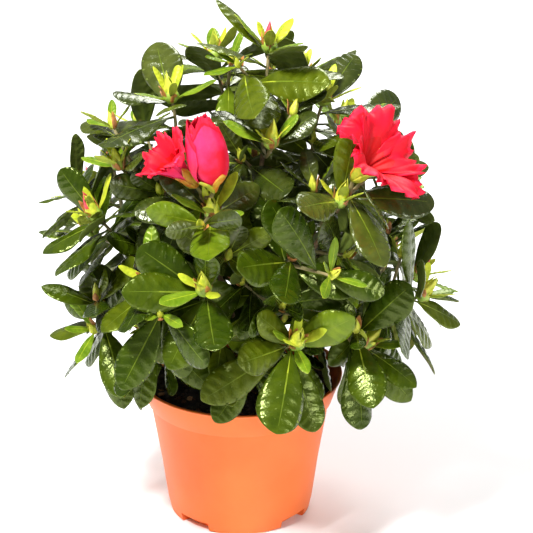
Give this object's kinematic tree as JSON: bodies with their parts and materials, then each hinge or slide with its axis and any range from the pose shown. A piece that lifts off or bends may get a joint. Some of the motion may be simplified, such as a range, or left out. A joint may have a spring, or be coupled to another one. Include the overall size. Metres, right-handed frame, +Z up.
{
  "type": "potted azalea shrub",
  "caption": "Young evergreen azalea with red ruffled blooms, a short forked stem in damp peat and a plain terracotta-coloured plastic nursery pot.",
  "frame": {"origin": "centre of the pot's flat underside", "axes": "+Z up along the pot's axis; -Y is the front that the picture shows, and +X is to its right"},
  "size_m": [0.2426, 0.2424, 0.3103],
  "materials": {
    "pot": "satin, moulded",
    "peat": "damp, crumbly",
    "bark": "rough",
    "foliage": "leathery, slightly glossy",
    "young_growth": "soft, downy",
    "petals": "satin, thin"
  },
  "bodies": {
    "root": {"pot": "pot", "soil": "peat", "stem": "bark", "bough_crown_front": "bark", "bough_crown_back": "bark", "bough_upper_left": "bark", "bough_right_upper": "bark", "bough_left_flowering": "bark", "bough_right_flowering": "bark", "bough_back_right": "bark", "bough_back_left": "bark", "bough_front_middle": "bark", "bough_front_left": "bark", "bough_left": "bark", "bough_right": "bark", "bough_back_middle": "bark", "bough_low_left": "bark", "bough_front_low": "bark", "bough_low_right_back": "bark", "bough_low_back": "bark", "crown_front": "foliage", "crown_back": "foliage", "upper_left": "foliage", "right_upper": "foliage", "left_flowering": "foliage", "right_flowering": "foliage", "back_right": "foliage", "back_left": "foliage", "front_middle": "foliage", "front_left": "foliage", "left": "foliage", "right": "foliage", "back_middle": "foliage", "low_left": "foliage", "front_low": "foliage", "low_right_back": "foliage", "low_back": "foliage"}
  },
  "joints": []
}
